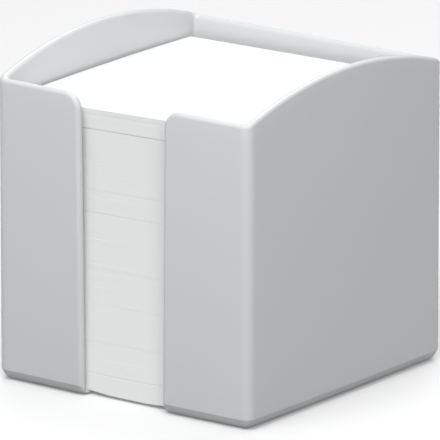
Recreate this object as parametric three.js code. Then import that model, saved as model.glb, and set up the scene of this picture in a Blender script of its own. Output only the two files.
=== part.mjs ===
// Memo cube: an open note box with arched side walls and a finger slot, and its stack of loose sheets.
// Millimetres, +Z up. The origin is on the ground under the middle of the box, and the slot faces -Y.
import * as THREE from 'three';
import { mergeVertices } from 'three/addons/utils/BufferGeometryUtils.js';

// Stack of loose sheets
const sheetWidth = 90; // the sheets are square
const stackHeight = 90.3; // from the floor to the middle of the top sheet
const stackRise = 0.95; // how much higher the stack is at its right edge than in its middle
const stackDrop = 0.16; // how much lower it is at its back edge, beside the sag
const stackTwist = 0.27; // how much more it rises to the right in front than in its middle
const stackSag = 0.5; // how far its front and back edges hang
const stackLean = 1; // how much further back its top lies than its foot
const parting = 0.1; // air between two bundles, and under the lowest
const sheetStray = 0.2; // furthest that a bundle lies out of line

// Room that the box leaves round the sheets, beside the fillets at its floor
const frontPlay = 0.4; // the foot of the stack stands close behind the front panels
const sidePlay = 0.2;
const backPlay = 3.7;

// Note box, outside
const rimOverStack = 4.7; // how far the level rim in front and behind stands above the stack
const archRise = 8.4; // how far the side walls rise above that rim in their middle
const wallBow = 0.4; // how far the middle of each wall stands out past its ends
const cornerRadius = 3.3; // upright outer corners

// Note box, walls and floor
const wall = 2.7; // thickness at the rim, which is fully rounded
const draft = 0.2; // how much thicker the walls are at the floor
const floorThickness = 1.2;
const floorFillet = 0.3; // inside, where the walls meet the floor
const leastCorner = 0.6; // smallest corner radius of an outline inside the walls
const footRecess = 0.3; // how far the middle of the underside lies above the ground
const footWidth = 4; // flat ring that the box stands on
const edgeHeight = 3.5; // crisp line where the walls turn under
const edgeAngleDegrees = 15; // how steeply they turn in at that line

// Finger slot in the front, and the notch that carries it on through the floor
const slotWidthTop = 32.6;
const slotWidthFloor = 31;
const slotCornerRadius = 5.5; // upper corners of the two front panels
const notchStraight = 10; // from the front face back to where the notch's round end starts
const notchRound = 12; // how deep that round end is

// How finely curves are cut
const cornerSteps = 5;
const archSteps = 18;
const endSteps = 6;
const panelSteps = 3;
const edgeSteps = 4;
const rimSteps = 8;
const sheetSteps = 4;

// The box is as large as its sheets, their room and its walls make it.
const frontGap = floorFillet + sheetStray + frontPlay;
const sideGap = floorFillet + sheetStray + sidePlay;
const backGap = floorFillet + sheetStray + backPlay;
const wallDepth = wallBow + wall + draft;
const boxWidth = sheetWidth + 2 * (sideGap + wallDepth);
const boxDepth = sheetWidth + frontGap + backGap + 2 * wallDepth;
const floorTop = footRecess + floorThickness;
const endHeight = floorTop + stackHeight + rimOverStack;

const mix = (from, to, share) => from + (to - from) * share;
const rightAngle = Math.PI / 2;

// Plan outline of the box, drawn in from the outer face by a given inset.
// Each wall is a wide arc, and runs without a kink into the corner arcs.
function outlineAt(inset) {
  const corner = Math.max(cornerRadius - inset, leastCorner);
  const cornerX = boxWidth / 2 - inset - wallBow - corner;
  const cornerY = boxDepth / 2 - inset - wallBow - corner;
  const bowed = (halfSpan, overall) => {
    const reach = (halfSpan ** 2 + wallBow ** 2) / (2 * wallBow);
    const radius = reach + corner;
    return { radius, centre: overall / 2 - inset - radius, sweep: Math.asin(halfSpan / reach) };
  };
  return { corner, cornerX, cornerY, side: bowed(cornerY, boxWidth), end: bowed(cornerX, boxDepth) };
}

// A station is a place on the left half of the outline. Its share runs along its own stretch.
const stretches = {
  // from the slot to the front left corner, at a given x for the slot's edge
  panel({ corner, cornerX, end }, share, slotX) {
    const x = mix(slotX, cornerX + corner * Math.sin(end.sweep), share);
    return [-x, -end.centre - Math.sqrt(end.radius ** 2 - x ** 2)];
  },
  frontCorner({ corner, cornerX, cornerY, side, end }, share) {
    const turn = mix(end.sweep, rightAngle - side.sweep, share);
    return [-cornerX - corner * Math.sin(turn), -cornerY - corner * Math.cos(turn)];
  },
  side({ side }, share) {
    const turn = mix(-side.sweep, side.sweep, share);
    return [-side.centre - side.radius * Math.cos(turn), side.radius * Math.sin(turn)];
  },
  backCorner({ corner, cornerX, cornerY, side, end }, share) {
    const turn = mix(side.sweep, rightAngle - end.sweep, share);
    return [-cornerX - corner * Math.cos(turn), cornerY + corner * Math.sin(turn)];
  },
  // from the back left corner to the middle of the back
  back({ end }, share) {
    const turn = end.sweep * (1 - share);
    return [-end.radius * Math.sin(turn), end.centre + end.radius * Math.cos(turn)];
  },
};

// The free edge is a full round, so the faces stop short of it by half the wall.
const edgeRound = wall / 2;
const slotTopZ = endHeight - slotCornerRadius;
const outer = outlineAt(0);

function slotEdgeX(z) {
  return mix(slotWidthFloor, slotWidthTop, Math.min(z / slotTopZ, 1)) / 2 + edgeRound;
}

// Stations of the left half, from the slot's edge round to the middle of the back
function leftStations() {
  const stations = [];
  // Rounded upper corner of the panel: its stations bunch up towards the slot.
  const bend = slotCornerRadius - edgeRound;
  const panelEnd = outer.cornerX + cornerRadius * Math.sin(outer.end.sweep);
  for (let step = 0; step <= cornerSteps; step += 1) {
    const turn = (step / cornerSteps) * rightAngle;
    const share = (bend * (1 - Math.cos(turn))) / (panelEnd - slotEdgeX(slotTopZ));
    stations.push({ stretch: 'panel', share, rim: slotTopZ + bend * Math.sin(turn), bendTurn: turn });
  }
  const bendShare = stations[cornerSteps].share;
  for (let step = 1; step <= panelSteps; step += 1) {
    stations.push({ stretch: 'panel', share: mix(bendShare, 1, step / panelSteps) });
  }
  const rest = { frontCorner: cornerSteps, side: archSteps, backCorner: cornerSteps, back: endSteps };
  for (const [stretch, steps] of Object.entries(rest)) {
    for (let step = 1; step <= steps; step += 1) {
      stations.push({ stretch, share: step / steps });
    }
  }
  return stations;
}

// Stations all round, from the slot's left edge to its right edge
function allStations() {
  const left = leftStations();
  const right = left.slice(0, -1).reverse().map((station) => ({ ...station, mirrored: true }));
  return [...left, ...right];
}

function placeAt(station, outline, z) {
  const [x, y] = stretches[station.stretch](outline, station.share, slotEdgeX(z));
  return new THREE.Vector3(station.mirrored ? -x : x, y, z);
}

// Height of the rim: level in front and behind, and one wide arch over each side wall
const archHalf = boxDepth / 2 - wallBow;
const archRadius = (archHalf ** 2 + archRise ** 2) / (2 * archRise);

function rimHeight(y) {
  if (Math.abs(y) >= archHalf) return endHeight;
  return endHeight + archRise - archRadius + Math.sqrt(archRadius ** 2 - y ** 2);
}

// At each station the faces stop below the rim, and the round edge swells out along a direction.
function addRims(stations) {
  const crest = stations.map((station) => {
    const place = placeAt(station, outer, endHeight);
    return place.setZ(rimHeight(place.y));
  });
  stations.forEach((station, index) => {
    if (station.bendTurn !== undefined) {
      const towardsSlot = station.mirrored ? -1 : 1;
      const turn = station.bendTurn;
      station.swell = new THREE.Vector3(towardsSlot * Math.cos(turn), 0, Math.sin(turn));
      return;
    }
    const run = crest[index + 1].clone().sub(crest[index - 1]).normalize();
    const up = new THREE.Vector3(0, 0, 1);
    station.swell = up.addScaledVector(run, -run.z).normalize();
    station.rim = crest[index].z - edgeRound / station.swell.z;
  });
}

// Both faces of the shell have the same rows, from the rim down and in under the sheets.
// A row says how far in from the outer face it lies, and how high. The first lies at the rim.
const edgeAngle = THREE.MathUtils.degToRad(edgeAngleDegrees);
const underRadius = edgeHeight / (1 - Math.sin(edgeAngle));
const underInset = underRadius * Math.cos(edgeAngle);
const footEnd = underInset + footWidth;

function faceRows() {
  const outside = [{ inset: 0 }];
  const inside = [{ inset: wall }];
  for (let step = 0; step <= edgeSteps; step += 1) {
    const under = mix(edgeAngle, rightAngle, step / edgeSteps);
    const fillet = mix(0, rightAngle, step / edgeSteps);
    outside.push({
      inset: underInset - underRadius * Math.cos(under),
      z: underRadius * (1 - Math.sin(under)),
    });
    inside.push({
      inset: wall + draft + floorFillet * (1 - Math.cos(fillet)),
      z: floorTop + floorFillet * (1 - Math.sin(fillet)),
    });
  }
  outside.push({ inset: footEnd, z: 0 }, { inset: footEnd + footRecess, z: footRecess });
  inside.push({ inset: footEnd, z: floorTop }, { inset: footEnd + footRecess, z: floorTop });
  return { outside, inside };
}

// The notch in the floor ends in half an ellipse. The faces stop short of its edge too.
function notchPoint(share, z) {
  const turn = share * Math.PI;
  const across = slotWidthFloor / 2 + edgeRound;
  const deep = notchRound + edgeRound;
  const start = -boxDepth / 2 + notchStraight;
  return {
    place: new THREE.Vector3(-across * Math.cos(turn), start + deep * Math.sin(turn), z),
    swell: new THREE.Vector3(Math.cos(turn) / across, -Math.sin(turn) / deep, 0).normalize(),
  };
}

// How far along the stations each one is, from 0 to 1, measured on one outline
function stationShares(stations, outline) {
  const places = stations.map((station) => placeAt(station, outline, 0));
  let sum = 0;
  const sums = places.map((place, index) => {
    if (index > 0) sum += place.distanceTo(places[index - 1]);
    return sum;
  });
  return sums.map((along) => along / sum);
}

// One face as columns of places: a column a station, down its rows and on to the notch
function facePlaces(stations, rows, shares, notchZ) {
  const outlines = rows.map((row) => outlineAt(row.inset));
  return stations.map((station, index) => {
    const column = rows.map((row, level) => placeAt(station, outlines[level], row.z ?? station.rim));
    column.push(notchPoint(shares[index], notchZ).place);
    return column;
  });
}

// The free edge in order: over the rim, down the slot's right edge, back round the notch and up
// the slot's left edge, each place with the direction in which the edge swells out
function freeEdgeOf(stations, shares, notchRow) {
  const last = stations.length - 1;
  const rightward = new THREE.Vector3(1, 0, 0);
  const leftward = new THREE.Vector3(-1, 0, 0);
  const edge = stations.map((station, index) => ({ index, row: 0, swell: station.swell }));
  for (let row = 1; row < notchRow; row += 1) {
    edge.push({ index: last, row, swell: leftward });
  }
  for (let index = last; index >= 0; index -= 1) {
    edge.push({ index, row: notchRow, swell: notchPoint(shares[index], 0).swell });
  }
  for (let row = notchRow - 1; row > 0; row -= 1) {
    edge.push({ index: 0, row, swell: rightward });
  }
  return edge;
}

// The whole box is one shell: two faces over the same grid of stations and rows, joined all along
// its one free edge by a full round.
function noteBoxGeometry() {
  const points = [];
  const triangles = [];
  const addPoint = (place) => {
    points.push(place);
    return points.length - 1;
  };
  const addQuad = (a, b, c, d) => triangles.push(a, b, c, a, c, d);

  const stations = allStations();
  addRims(stations);
  const rows = faceRows();
  const notchRow = rows.outside.length;
  const shares = stationShares(stations, outlineAt(rows.outside[notchRow - 1].inset));
  const outside = facePlaces(stations, rows.outside, shares, footRecess);
  const inside = facePlaces(stations, rows.inside, shares, floorTop);

  const outsideIds = outside.map((column) => column.map(addPoint));
  const insideIds = inside.map((column) => column.map(addPoint));
  for (let index = 0; index < stations.length - 1; index += 1) {
    for (let row = 0; row < notchRow; row += 1) {
      const corners = (ids) => {
        const [here, next] = [ids[index], ids[index + 1]];
        return [here[row], next[row], next[row + 1], here[row + 1]];
      };
      addQuad(...corners(outsideIds));
      addQuad(...corners(insideIds).reverse());
    }
  }

  const rounds = freeEdgeOf(stations, shares, notchRow).map(({ index, row, swell }) => {
    const from = outside[index][row];
    const to = inside[index][row];
    const middle = from.clone().add(to).divideScalar(2);
    const half = from.clone().sub(to).divideScalar(2);
    const ids = [outsideIds[index][row]];
    for (let step = 1; step < rimSteps; step += 1) {
      const turn = (step / rimSteps) * Math.PI;
      const place = middle.clone().addScaledVector(half, Math.cos(turn));
      ids.push(addPoint(place.addScaledVector(swell, edgeRound * Math.sin(turn))));
    }
    ids.push(insideIds[index][row]);
    return ids;
  });
  rounds.forEach((round, index) => {
    const next = rounds[(index + 1) % rounds.length];
    for (let step = 0; step < rimSteps; step += 1) {
      addQuad(round[step], round[step + 1], next[step + 1], next[step]);
    }
  });

  const geometry = new THREE.BufferGeometry().setFromPoints(points);
  geometry.setIndex(triangles);
  geometry.computeVertexNormals();
  return geometry;
}

// Where the stack parts, from the floor up: height, and how much of the top sheet's bend shows there
const partingShares = [
  { height: 0, bend: 0 },
  { height: 0.07, bend: 0.5 },
  { height: 0.181, bend: 0.55 },
  { height: 0.316, bend: 0.7 },
  { height: 0.44, bend: 0.65 },
  { height: 0.636, bend: 0.75 },
  { height: 0.716, bend: 0.85 },
  { height: 0.928, bend: 0.95 },
  { height: 0.983, bend: 0.98 },
  { height: 1, bend: 1 },
];

// How far each bundle lies out of line, across and along, as shares of the furthest stray
const strayShares = [
  { across: 0, along: 0.2 },
  { across: -0.6, along: -0.2 },
  { across: 0.3, along: 0.5 },
  { across: -0.2, along: -0.5 },
  { across: 0.8, along: 0.1 },
  { across: -0.9, along: 0.4 },
  { across: 0.2, along: -0.2 },
  { across: 0.6, along: 0.2 },
  { across: -0.3, along: -0.4 },
];

function partingHeight(level, x, y) {
  const { height, bend } = partingShares[level];
  const across = x / (sheetWidth / 2);
  const along = y / (sheetWidth / 2);
  const slope = stackRise * across - stackDrop * along;
  const curve = stackTwist * across * along + stackSag * along ** 2;
  return floorTop + stackHeight * height + bend * (slope - curve);
}

// A bundle of sheets fills the space between two partings and keeps its sheets' square outline.
function bundleGeometry(level) {
  const box = new THREE.BoxGeometry(sheetWidth, sheetWidth, 1, sheetSteps, sheetSteps, 1);
  box.deleteAttribute('normal');
  box.deleteAttribute('uv');
  const geometry = mergeVertices(box);
  const position = geometry.attributes.position;
  for (let index = 0; index < position.count; index += 1) {
    const x = position.getX(index);
    const y = position.getY(index);
    const isTop = position.getZ(index) > 0;
    const z = isTop ? partingHeight(level + 1, x, y) : partingHeight(level, x, y) + parting;
    position.setZ(index, z);
  }
  geometry.computeVertexNormals();
  return geometry;
}

const boxPlastic = new THREE.MeshStandardMaterial({ color: 0xc9cbcd, roughness: 0.42, metalness: 0 });
const paper = new THREE.MeshStandardMaterial({ color: 0xf4f5f5, roughness: 0.9, metalness: 0 });

const memoCube = new THREE.Group();

const noteBox = new THREE.Mesh(noteBoxGeometry(), boxPlastic);
noteBox.name = 'note_box';
memoCube.add(noteBox);

const stack = new THREE.Group();
stack.position.y = -boxDepth / 2 + wallDepth + frontGap + sheetWidth / 2;
memoCube.add(stack);

strayShares.forEach(({ across, along }, level) => {
  const bundle = new THREE.Mesh(bundleGeometry(level), paper.clone());
  bundle.name = `sheets_${level + 1}`;
  const leaning = stackLean * partingShares[level].height;
  bundle.position.set(sheetStray * across, leaning + sheetStray * along, 0);
  stack.add(bundle);
});

export default memoCube;
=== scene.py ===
import math
import random

import bpy
from mathutils import Matrix, Vector


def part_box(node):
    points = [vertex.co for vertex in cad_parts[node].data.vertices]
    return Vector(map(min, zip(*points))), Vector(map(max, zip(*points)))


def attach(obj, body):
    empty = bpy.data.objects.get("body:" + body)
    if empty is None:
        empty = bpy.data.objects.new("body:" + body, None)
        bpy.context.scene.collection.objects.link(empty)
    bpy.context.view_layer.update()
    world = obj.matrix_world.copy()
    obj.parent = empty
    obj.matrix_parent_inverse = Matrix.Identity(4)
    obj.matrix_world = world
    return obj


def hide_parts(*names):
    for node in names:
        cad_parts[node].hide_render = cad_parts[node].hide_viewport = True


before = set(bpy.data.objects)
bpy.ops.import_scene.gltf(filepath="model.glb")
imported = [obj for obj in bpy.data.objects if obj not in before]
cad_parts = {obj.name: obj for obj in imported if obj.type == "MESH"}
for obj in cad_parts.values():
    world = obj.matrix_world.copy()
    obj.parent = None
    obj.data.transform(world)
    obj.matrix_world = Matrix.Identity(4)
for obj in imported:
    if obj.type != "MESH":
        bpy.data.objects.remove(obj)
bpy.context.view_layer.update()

mm = 0.001

# Camera
# A long lens looks down on the box from in front and to the right. It aims at the box's middle, a
# little below half its height, and the box nearly fills the picture.
picture_width = 440  # pixels, and as many high
azimuth = math.radians(36.9)
elevation = math.radians(15.6)
pixels_per_mm = 3.217  # at the point that the camera aims at
focal_pixels = 11100
aim_right = -0.14 * mm
aim_up = 46.19 * mm

towards_camera = Vector((
    math.sin(azimuth) * math.cos(elevation),
    -math.cos(azimuth) * math.cos(elevation),
    math.sin(elevation),
))
rightward = Vector((math.cos(azimuth), math.sin(azimuth), 0))
upward = towards_camera.cross(rightward)
camera_distance = focal_pixels / pixels_per_mm * mm

camera_data = bpy.data.cameras.new("camera")
camera_data.sensor_width = 36
camera_data.lens = camera_data.sensor_width * focal_pixels / picture_width
camera_data.clip_start = 0.1
camera_data.clip_end = 100
camera = bpy.data.objects.new("camera", camera_data)
bpy.context.scene.collection.objects.link(camera)
bpy.context.scene.camera = camera
turn = Matrix((rightward, upward, towards_camera)).transposed()
aim = rightward * aim_right + upward * aim_up
camera.matrix_world = Matrix.Translation(aim + towards_camera * camera_distance) @ turn.to_4x4()


# Note box
# One light grey injection moulding: two arched side walls, a back wall, and two front panels with the
# finger slot between them, which runs on as a thumb notch in the floor. All its free edge is a full
# round, and just above the ground a crisp line shows where the walls turn under.
box_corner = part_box("note_box")[1]  # on the right, at the back and at the top
half_width = box_corner.x
half_depth = box_corner.y
box_height = box_corner.z
arch_rise = 8.4 * mm
end_height = box_height - arch_rise
wall_bow = 0.4 * mm
corner_radius = 3.3 * mm
inner_corner = 1.3 * mm  # at the rim
least_corner = 0.6 * mm
wall = 2.7 * mm
edge_round = wall / 2
draft = 0.2 * mm  # how much thicker the walls are at the foot
foot_recess = 0.3 * mm
floor_thickness = 1.2 * mm
floor_top = foot_recess + floor_thickness
floor_fillet = 0.3 * mm
foot_width = 4 * mm
edge_height = 3.5 * mm
edge_angle = math.radians(28)
edge_softness = 0.25 * mm  # radius of the crisp line
bevel_height = 1.3 * mm  # the flat part of the edge, right under the line
slot_width_top = 32.6 * mm
slot_width_floor = 31 * mm
slot_corner_radius = 5.5 * mm
slot_top_z = end_height - slot_corner_radius
notch_straight = 10 * mm
notch_round = 12 * mm
holding = 0.4 * mm  # narrow rows that keep a bend's shading to the bend

# How finely each stretch of the moulding is drawn
slot_corner_steps = 16
panel_steps = 14
corner_steps = 14
side_steps = 64
back_steps = 24
wall_steps = 22
soft_steps = 4
bevel_row_shares = (0.3, 0.9)
under_steps = 14
edge_round_steps = 14

right_angle = math.pi / 2


def mix(start, end, share):
    return start + (end - start) * share


def outline_at(inset, least=least_corner):
    """The box's plan, drawn in from the outer face: wide arcs for walls, small arcs for corners."""
    corner = max(corner_radius - inset, least)
    corner_x = half_width - inset - wall_bow - corner
    corner_y = half_depth - inset - wall_bow - corner

    def bowed(half_span, half_overall):
        reach = (half_span ** 2 + wall_bow ** 2) / (2 * wall_bow)
        radius = reach + corner
        return {
            "radius": radius,
            "centre": half_overall - inset - radius,
            "sweep": math.asin(half_span / reach),
        }

    return {
        "corner": corner,
        "x": corner_x,
        "y": corner_y,
        "side": bowed(corner_y, half_width),
        "end": bowed(corner_x, half_depth),
    }


def slot_edge_x(z):
    """Where a front panel's faces end and the round of the slot's edge begins."""
    return mix(slot_width_floor, slot_width_top, min(z / slot_top_z, 1)) / 2 + edge_round


def panel_place(outline, share, z):
    """A place in the plan of the left front panel, at a share of the way from the slot to the corner."""
    end = outline["end"]
    x = mix(slot_edge_x(z), outline["x"] + outline["corner"] * math.sin(end["sweep"]), share)
    return -x, -end["centre"] - math.sqrt(end["radius"] ** 2 - x ** 2)


def front_corner_place(outline, share, z):
    turned = mix(outline["end"]["sweep"], right_angle - outline["side"]["sweep"], share)
    return (
        -outline["x"] - outline["corner"] * math.sin(turned),
        -outline["y"] - outline["corner"] * math.cos(turned),
    )


def side_place(outline, share, z):
    side = outline["side"]
    turned = mix(-side["sweep"], side["sweep"], share)
    return -side["centre"] - side["radius"] * math.cos(turned), side["radius"] * math.sin(turned)


def back_corner_place(outline, share, z):
    turned = mix(outline["side"]["sweep"], right_angle - outline["end"]["sweep"], share)
    return (
        -outline["x"] - outline["corner"] * math.cos(turned),
        outline["y"] + outline["corner"] * math.sin(turned),
    )


def back_place(outline, share, z):
    end = outline["end"]
    turned = end["sweep"] * (1 - share)
    return -end["radius"] * math.sin(turned), end["centre"] + end["radius"] * math.cos(turned)


arch_half = half_depth - wall_bow
arch_radius = (arch_half ** 2 + arch_rise ** 2) / (2 * arch_rise)


def rim_height(y):
    """Level in front and behind, and an arc over each side wall."""
    if abs(y) >= arch_half:
        return end_height
    return box_height - arch_radius + math.sqrt(arch_radius ** 2 - y ** 2)


class Station:
    """A place on the box's outline. Its faces end at the height of rim, where the round edge begins."""

    def __init__(self, stretch, share, mirrored=False, rim=None, bend_turn=None):
        self.stretch = stretch
        self.share = share
        self.mirrored = mirrored
        self.rim = rim
        self.bend_turn = bend_turn
        self.swell = None  # the way that the round edge bulges

    def place(self, outline, z):
        x, y = self.stretch(outline, self.share, z)
        return Vector((-x if self.mirrored else x, y, z))


def box_stations():
    """Stations from the slot's left edge round the box to its right edge."""
    outer = outline_at(0)
    bend = slot_corner_radius - edge_round
    panel_end = outer["x"] + corner_radius * math.sin(outer["end"]["sweep"])
    left = []
    for step in range(slot_corner_steps + 1):
        turned = right_angle * step / slot_corner_steps
        share = bend * (1 - math.cos(turned)) / (panel_end - slot_edge_x(slot_top_z))
        rim = slot_top_z + bend * math.sin(turned)
        left.append(Station(panel_place, share, rim=rim, bend_turn=turned))
    bend_share = left[-1].share
    for step in range(1, panel_steps + 1):
        left.append(Station(panel_place, mix(bend_share, 1, step / panel_steps)))
    stretches = (
        (front_corner_place, corner_steps),
        (side_place, side_steps),
        (back_corner_place, corner_steps),
        (back_place, back_steps),
    )
    for stretch, steps in stretches:
        left += [Station(stretch, step / steps) for step in range(1, steps + 1)]
    right = [
        Station(each.stretch, each.share, mirrored=True, rim=each.rim, bend_turn=each.bend_turn)
        for each in reversed(left[:-1])
    ]
    stations = left + right

    crest = []
    for station in stations:
        spot = station.place(outer, end_height)
        crest.append(Vector((spot.x, spot.y, rim_height(spot.y))))
    for index, station in enumerate(stations):
        if station.bend_turn is not None:
            across = math.cos(station.bend_turn) * (-1 if station.mirrored else 1)
            station.swell = Vector((across, 0, math.sin(station.bend_turn)))
        else:
            run = (crest[index + 1] - crest[index - 1]).normalized()
            station.swell = (Vector((0, 0, 1)) - run * run.z).normalized()
            station.rim = crest[index].z - edge_round / station.swell.z
    return stations


bevel_inset = bevel_height * math.tan(edge_angle)
under_radius = (edge_height - bevel_height) / (1 - math.sin(edge_angle))
under_inset = bevel_inset + under_radius * math.cos(edge_angle)
foot_end = under_inset + foot_width


def outside_rows():
    """Rows of inset, share and height, from the rim down and in under the box.

    A row lies at its height or, where it has a share, that share of the way there from the rim.
    """
    reach = edge_softness * math.tan(edge_angle / 2)
    edge_start = edge_height + reach
    rows = [(0, step / wall_steps, edge_start + holding) for step in range(wall_steps + 1)]
    for step in range(soft_steps + 1):
        turned = edge_angle * step / soft_steps
        inset = edge_softness * (1 - math.cos(turned))
        rows.append((inset, None, edge_start - edge_softness * math.sin(turned)))
    for share in bevel_row_shares:
        rows.append((bevel_inset * share, None, edge_height - bevel_height * share))
    for step in range(under_steps + 1):
        turned = mix(edge_angle, right_angle, step / under_steps)
        inset = under_inset - under_radius * math.cos(turned)
        rows.append((inset, None, under_radius * (1 - math.sin(turned))))
    for inset, z in (
        (under_inset + holding, 0),
        (foot_end - holding, 0),
        (foot_end, 0),
        (foot_end + foot_recess, foot_recess),
        (foot_end + foot_recess + holding, foot_recess),
    ):
        rows.append((inset, None, z))
    return rows


def inside_rows(count):
    """As many rows as outside, each at about the same depth in the wall."""
    foot = floor_top + floor_fillet
    floor_insets = (
        wall + draft + floor_fillet + holding,
        foot_end,
        foot_end + foot_recess + holding,
    )
    rows = []
    for step in range(wall_steps + 1):
        share = step / wall_steps
        rows.append((mix(wall, wall + draft, share), share, foot + holding))
    fillet_steps = count - len(rows) - len(floor_insets)
    for step in range(fillet_steps):
        turned = right_angle * step / (fillet_steps - 1)
        rows.append((
            wall + draft + floor_fillet * (1 - math.cos(turned)),
            None,
            floor_top + floor_fillet * (1 - math.sin(turned)),
        ))
    rows += [(inset, None, floor_top) for inset in floor_insets]
    return rows


def notch_point(share, z):
    """A place on the notch's outline, half an ellipse, and the way out of its round edge."""
    turned = share * math.pi
    across = slot_width_floor / 2 + edge_round
    deep = notch_round + edge_round
    start = -half_depth + notch_straight
    place = Vector((-across * math.cos(turned), start + deep * math.sin(turned), z))
    swell = Vector((math.cos(turned) / across, -math.sin(turned) / deep, 0)).normalized()
    return place, swell


def face_columns(stations, rows, shares, notch_z):
    """One column of places for each station, from the rim down and in to the notch."""
    outlines = []
    for inset, down, z in rows:
        least = mix(inner_corner, least_corner, 1 if down is None else down)
        outlines.append(outline_at(inset, least))
    columns = []
    for station, notch_share in zip(stations, shares):
        column = []
        for (inset, down, z), outline in zip(rows, outlines):
            height = z if down is None else mix(station.rim, z, down)
            column.append(station.place(outline, height))
        column.append(notch_point(notch_share, notch_z)[0])
        columns.append(column)
    return columns


def note_box_mesh():
    """An outer and an inner skin, joined by the round of the free edge."""
    stations = box_stations()
    outer_rows = outside_rows()
    inner_rows = inside_rows(len(outer_rows))
    innermost = outline_at(outer_rows[-1][0])
    along = [0]
    for here, before in zip(stations[1:], stations):
        along.append(along[-1] + (here.place(innermost, 0) - before.place(innermost, 0)).length)
    shares = [each / along[-1] for each in along]
    outside = face_columns(stations, outer_rows, shares, foot_recess)
    inside = face_columns(stations, inner_rows, shares, floor_top)
    notch_row = len(outer_rows)

    places = []

    def add(place):
        places.append(place)
        return len(places) - 1

    outside_ids = [[add(place) for place in column] for column in outside]
    inside_ids = [[add(place) for place in column] for column in inside]
    faces = []
    for index in range(len(stations) - 1):
        for row in range(notch_row):
            out_here, out_next = outside_ids[index], outside_ids[index + 1]
            in_here, in_next = inside_ids[index], inside_ids[index + 1]
            faces.append((out_here[row], out_next[row], out_next[row + 1], out_here[row + 1]))
            faces.append((in_here[row + 1], in_next[row + 1], in_next[row], in_here[row]))

    # The free edge: over the rim, down the slot's right edge, round the notch, and up its left edge
    last = len(stations) - 1
    free_edge = [(index, 0, station.swell) for index, station in enumerate(stations)]
    free_edge += [(last, row, Vector((-1, 0, 0))) for row in range(1, notch_row)]
    for index in range(last, -1, -1):
        free_edge.append((index, notch_row, notch_point(shares[index], 0)[1]))
    free_edge += [(0, row, Vector((1, 0, 0))) for row in range(notch_row - 1, 0, -1)]
    rounds = []
    for index, row, swell in free_edge:
        start, end = outside[index][row], inside[index][row]
        middle = (start + end) / 2
        half = (start - end) / 2
        ids = [outside_ids[index][row]]
        for step in range(1, edge_round_steps):
            turned = math.pi * step / edge_round_steps
            out = swell * edge_round * math.sin(turned)
            ids.append(add(middle + half * math.cos(turned) + out))
        ids.append(inside_ids[index][row])
        rounds.append(ids)
    for here, following in zip(rounds, rounds[1:] + rounds[:1]):
        for step in range(edge_round_steps):
            faces.append((here[step], here[step + 1], following[step + 1], following[step]))

    mesh = bpy.data.meshes.new("note_box_moulding")
    mesh.from_pydata(places, [], faces)
    mesh.update()
    mesh.shade_smooth()
    return mesh


def new_material(name):
    """A material, its node tree, its shader, and the places on the piece that it covers."""
    material = bpy.data.materials.new(name)
    material.use_nodes = True
    tree = material.node_tree
    where = tree.nodes.new("ShaderNodeTexCoord").outputs["Object"]
    return material, tree, tree.nodes["Principled BSDF"], where


def add_noise(tree, where, scale, detail=2):
    noise = tree.nodes.new("ShaderNodeTexNoise")
    noise.inputs["Scale"].default_value = scale
    noise.inputs["Detail"].default_value = detail
    tree.links.new(where, noise.inputs["Vector"])
    return noise.outputs["Fac"]


def add_height(tree, where):
    split = tree.nodes.new("ShaderNodeSeparateXYZ")
    tree.links.new(where, split.inputs["Vector"])
    return split.outputs["Z"]


def add_range(tree, value, low, high, start=0, end=1):
    """Turns a value between start and end into one between low and high."""
    spread = tree.nodes.new("ShaderNodeMapRange")
    spread.inputs["From Min"].default_value = start
    spread.inputs["From Max"].default_value = end
    spread.inputs["To Min"].default_value = low
    spread.inputs["To Max"].default_value = high
    tree.links.new(value, spread.inputs["Value"])
    return spread.outputs["Result"]


def colour_by(tree, shader, colour, tone, painted_shading):
    """The base colour, made a little lighter or darker by both factors: the material's own tone, and
    painted light and shade.
    """
    both = tree.nodes.new("ShaderNodeMath")
    both.operation = "MULTIPLY"
    shade = tree.nodes.new("ShaderNodeVectorMath")
    shade.operation = "SCALE"
    shade.inputs[0].default_value = colour
    tree.links.new(tone, both.inputs[0])
    tree.links.new(painted_shading, both.inputs[1])
    tree.links.new(both.outputs["Value"], shade.inputs["Scale"])
    tree.links.new(shade.outputs["Vector"], shader.inputs["Base Color"])


def raise_by(tree, shader, relief, strength, depth):
    bump = tree.nodes.new("ShaderNodeBump")
    bump.inputs["Strength"].default_value = strength
    bump.inputs["Distance"].default_value = depth
    tree.links.new(relief, bump.inputs["Height"])
    tree.links.new(bump.outputs["Normal"], shader.inputs["Normal"])


def moulded_plastic():
    """Light grey plastic with a fine moulded grain, so that it shines softly."""
    light_grey = (0.611, 0.621, 0.629)
    material, tree, shader, where = new_material("light_grey_plastic")
    shader.inputs["IOR"].default_value = 1.59

    # Faint clouds of colour from the melt, and painted light that makes the plastic a little lighter
    # towards the top and darker towards the foot
    clouds = add_range(tree, add_noise(tree, where, scale=28, detail=3), low=0.985, high=1.015)
    painted_top_light = add_range(tree, add_height(tree, where), low=0.968, high=1.032, end=box_height)
    colour_by(tree, shader, light_grey, clouds, painted_top_light)

    # The mould's fine eroded grain
    raise_by(tree, shader, add_noise(tree, where, scale=2600), strength=0.12, depth=0.03 * mm)

    # Handling leaves the gloss a little uneven
    handled = add_range(tree, add_noise(tree, where, scale=60), low=0.36, high=0.44)
    tree.links.new(handled, shader.inputs["Roughness"])
    return material


note_box = bpy.data.objects.new("note_box_moulding", note_box_mesh())
note_box.data.materials.append(moulded_plastic())
bpy.context.scene.collection.objects.link(note_box)
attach(note_box, "box")
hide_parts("note_box")


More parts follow.
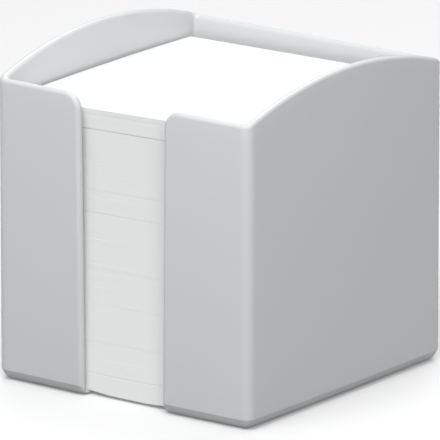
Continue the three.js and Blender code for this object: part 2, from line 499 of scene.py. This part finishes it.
# Sheets
# About 860 loose sheets of plain white note paper, 0.1 mm thick and cut 90 mm square. Dark lines show
# where the stack has parted into bundles. It rises towards the right, sags in front and behind, leans
# back at its top, and its lowest sheets hang a little into the notch.
sheet_half = 45 * mm
stack_height = 90.3 * mm
stack_rise = 0.95 * mm  # from the middle to the right
stack_drop = 0.16 * mm  # from the middle to the back
stack_twist = 0.27 * mm
stack_sag = 0.5 * mm
foot_forward = 0.3 * mm  # how far the lowest sheet is in front of its bundle's middle
foot_low, foot_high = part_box("sheets_1")
top_low, top_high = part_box("sheets_9")
foot_y = (foot_low.y + foot_high.y) / 2 - foot_forward
stack_lean = (top_low.y + top_high.y) / 2 - foot_y
notch_sag = 0.6 * mm
notch_sag_height = 12 * mm  # above this the sheets don't hang
notch_margin = 3 * mm  # this close to the notch's edge the sheets don't hang
leaf_thickness = 0.42 * mm  # four sheets, which is as many as are modelled together
leaf_stray = 0.01 * mm
edge_segments = 24

# Where the stack parts, from the floor up: height and bend as shares, and how far it gapes
partings = (
    (0, 0, 0.04 * mm),
    (0.07, 0.5, 0.06 * mm),
    (0.181, 0.55, 0.05 * mm),
    (0.316, 0.7, 0.04 * mm),
    (0.44, 0.65, 0.05 * mm),
    (0.636, 0.75, 0.05 * mm),
    (0.716, 0.85, 0.05 * mm),
    (0.928, 0.95, 0.16 * mm),
    (0.983, 0.98, 0.05 * mm),
    (1, 1, 0),
)


def parting_height(level, across, along):
    """Height of a parting. Across runs from -1 to 1 to the right, and along does so to the back."""
    height, bend, gape = partings[level]
    slope = stack_rise * across - stack_drop * along
    curve = stack_twist * across * along + stack_sag * along ** 2
    return floor_top + stack_height * height + bend * (slope - curve)


def hang(x, y, z):
    """How far a sheet hangs into the notch: most in front, and nothing beside or behind the notch."""
    rounding = min(max((y + half_depth - notch_straight) / (notch_round - notch_margin), 0), 1)
    free_half_width = (slot_width_floor / 2 - notch_margin) * math.sqrt(1 - rounding ** 2)
    if abs(x) >= free_half_width or z > floor_top + notch_sag_height:
        return 0
    beside = abs(x) / free_half_width
    behind = max(y + half_depth, 0) / (notch_straight + notch_round)
    above = max(z - floor_top, 0) / notch_sag_height
    nearly_level = 1 - beside ** 6
    return notch_sag * nearly_level * (1 - behind ** 2) * (1 - above)


def square_ring():
    """Places round the edge of a square that runs from -1 to 1 both ways."""
    sides = (
        ((-1, -1), (1, 0)),
        ((1, -1), (0, 1)),
        ((1, 1), (-1, 0)),
        ((-1, 1), (0, -1)),
    )
    ring = []
    for (across, along), (run_across, run_along) in sides:
        for step in range(edge_segments):
            gone = 2 * step / edge_segments
            ring.append((across + run_across * gone, along + run_along * gone))
    return ring


def bundle_mesh(level, dice):
    """A pile of leaves, each a little off the others, closed at its foot and its top."""
    node_low, node_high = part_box(f"sheets_{level}")
    centre_x = (node_low.x + node_high.x) / 2
    thickness = stack_height * (partings[level][0] - partings[level - 1][0])
    leaves = max(round(thickness / leaf_thickness), 2)
    gape = partings[level - 1][2]

    ring = square_ring()
    places = []
    faces = []

    def point(across, along, share, stray):
        shift_x, shift_y, twist = stray
        low = parting_height(level - 1, across, along) + gape
        high = parting_height(level, across, along)
        z = mix(low, high, share)
        centre_y = foot_y + stack_lean * (z - floor_top) / stack_height
        x = centre_x + sheet_half * across + shift_x - twist * sheet_half * along
        y = centre_y + sheet_half * along + shift_y + twist * sheet_half * across
        return x, y, z - hang(x, y, z)

    strays = []
    rings = []
    for index in range(leaves):
        stray = (
            dice.gauss(0, leaf_stray),
            dice.gauss(0, leaf_stray),
            dice.gauss(0, leaf_stray) / sheet_half,
        )
        strays.append(stray)
        for share in (index / leaves, (index + 1) / leaves):
            rings.append([len(places) + step for step in range(len(ring))])
            places += [point(across, along, share, stray) for across, along in ring]
    for lower, upper in zip(rings, rings[1:]):
        for step in range(len(ring)):
            following = (step + 1) % len(ring)
            faces.append((lower[step], lower[following], upper[following], upper[step]))

    ends = (
        (0, strays[0], rings[0]),
        (1, strays[-1], rings[-1]),
    )
    for share, stray, end_ring in ends:
        ids = {}
        for (across, along), number in zip(ring, end_ring):
            column = round((across + 1) / 2 * edge_segments)
            row = round((along + 1) / 2 * edge_segments)
            ids[column, row] = number
        for column in range(edge_segments + 1):
            for row in range(edge_segments + 1):
                if (column, row) not in ids:
                    ids[column, row] = len(places)
                    across = 2 * column / edge_segments - 1
                    along = 2 * row / edge_segments - 1
                    places.append(point(across, along, share, stray))
        for column in range(edge_segments):
            for row in range(edge_segments):
                quad = (
                    ids[column, row],
                    ids[column + 1, row],
                    ids[column + 1, row + 1],
                    ids[column, row + 1],
                )
                faces.append(quad if share == 1 else quad[::-1])

    mesh = bpy.data.meshes.new(f"note_sheets_{level}")
    mesh.from_pydata(places, [], faces)
    mesh.update()
    return mesh


def note_paper():
    """Matt white paper. Its cut edges show fine lines, as a stack of thin sheets does."""
    paper_white = (0.873, 0.886, 0.88)
    material, tree, shader, where = new_material("note_paper")
    shader.inputs["Roughness"].default_value = 0.9
    shader.inputs["Specular IOR Level"].default_value = 0.2

    # Noise drawn out sideways into lines, and painted shade that makes the cut edges a little grey
    # towards the top of the stack and lighter towards its foot
    stretch = tree.nodes.new("ShaderNodeMapping")
    stretch.inputs["Scale"].default_value = (12, 12, 5000)
    tree.links.new(where, stretch.inputs["Vector"])
    streaks = add_noise(tree, stretch.outputs["Vector"], scale=1)
    lines = add_range(tree, streaks, low=0.99, high=1.01)
    painted_top_shade = add_range(tree, add_height(tree, where), low=1.035, high=0.91, end=stack_height)
    colour_by(tree, shader, paper_white, lines, painted_top_shade)

    # The paper's fibres
    fibres = add_noise(tree, where, scale=1800, detail=4)
    raise_by(tree, shader, fibres, strength=0.15, depth=0.02 * mm)
    return material


paper = note_paper()
stray_seed = 90
dice = random.Random(stray_seed)
for level in range(1, len(partings)):
    bundle = bpy.data.objects.new(f"note_sheets_{level}", bundle_mesh(level, dice))
    bundle.data.materials.append(paper)
    bpy.context.scene.collection.objects.link(bundle)
    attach(bundle, f"bundle_{level}")
    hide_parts(f"sheets_{level}")


# Floor and light
# A plain white studio floor in a pale room, with less light from straight below. The main soft box
# hangs above the camera's line of sight, a small one over the box's front, and the widest behind the
# box, where it whitens the rims and the floor.
floor_reach = 20
room_brightness = 0.34
table_brightness = 0.47  # what comes up from the table farther off
shaded_brightness = 0.14  # what comes up from close under the box
horizon = 0.5  # half the way from straight down to straight up
horizon_softness = 0.02
floor_mesh = bpy.data.meshes.new("studio_floor")
floor_mesh.from_pydata(
    [(-floor_reach, -floor_reach, 0), (floor_reach, -floor_reach, 0),
     (floor_reach, floor_reach, 0), (-floor_reach, floor_reach, 0)],
    [], [(0, 1, 2, 3)],
)
floor_material = bpy.data.materials.new("studio_floor")
floor_material.use_nodes = True
floor_shader = floor_material.node_tree.nodes["Principled BSDF"]
floor_shader.inputs["Base Color"].default_value = (0.9, 0.9, 0.9, 1)
floor_shader.inputs["Roughness"].default_value = 0.9
floor_shader.inputs["Specular IOR Level"].default_value = 0
floor_mesh.materials.append(floor_material)
studio_floor = bpy.data.objects.new("studio_floor", floor_mesh)
studio_floor.visible_diffuse = False  # the room lights the box from below as well
studio_floor.visible_shadow = False
bpy.context.scene.collection.objects.link(studio_floor)

room = bpy.data.worlds.new("studio_room")
room.use_nodes = True
background = room.node_tree.nodes["Background"]
direction = room.node_tree.nodes.new("ShaderNodeTexCoord").outputs["Generated"]
height = add_range(room.node_tree, add_height(room.node_tree, direction), low=0, high=1, start=-1)
brightness = room.node_tree.nodes.new("ShaderNodeValToRGB")
below, above = brightness.color_ramp.elements
below.color = (shaded_brightness, shaded_brightness, shaded_brightness, 1)
above.color = (room_brightness, room_brightness, room_brightness, 1)
for place, level in (
    (horizon - horizon_softness, table_brightness),
    (horizon + horizon_softness, room_brightness),
):
    brightness.color_ramp.elements.new(place).color = (level, level, level, 1)
room.node_tree.links.new(height, brightness.inputs["Fac"])
room.node_tree.links.new(brightness.outputs["Color"], background.inputs["Color"])
background.inputs["Strength"].default_value = 1
bpy.context.scene.world = room
bpy.context.scene.view_settings.view_transform = "Standard"


def soft_box(name, azimuth_degrees, elevation_degrees, distance, size, power):
    """A square soft light that faces the note box. Azimuth 0 is in front, and 90 on the right."""
    data = bpy.data.lights.new(name, "AREA")
    data.shape = "SQUARE"
    data.size = size
    data.energy = power
    light = bpy.data.objects.new(name, data)
    turned, raised = math.radians(azimuth_degrees), math.radians(elevation_degrees)
    outward = Vector((
        math.sin(turned) * math.cos(raised),
        -math.cos(turned) * math.cos(raised),
        math.sin(raised),
    ))
    light.location = outward * distance + Vector((0, 0, box_height / 2))
    light.rotation_mode = "QUATERNION"
    light.rotation_quaternion = outward.to_track_quat("Z", "Y")
    light.visible_camera = False
    bpy.context.scene.collection.objects.link(light)


soft_box("main_light", azimuth_degrees=38, elevation_degrees=35, distance=1.2, size=1.1, power=9.9)
soft_box("upper_light", azimuth_degrees=5, elevation_degrees=60, distance=0.6, size=0.4, power=1.4)
soft_box("back_light", azimuth_degrees=200, elevation_degrees=55, distance=1.5, size=1.2, power=11)
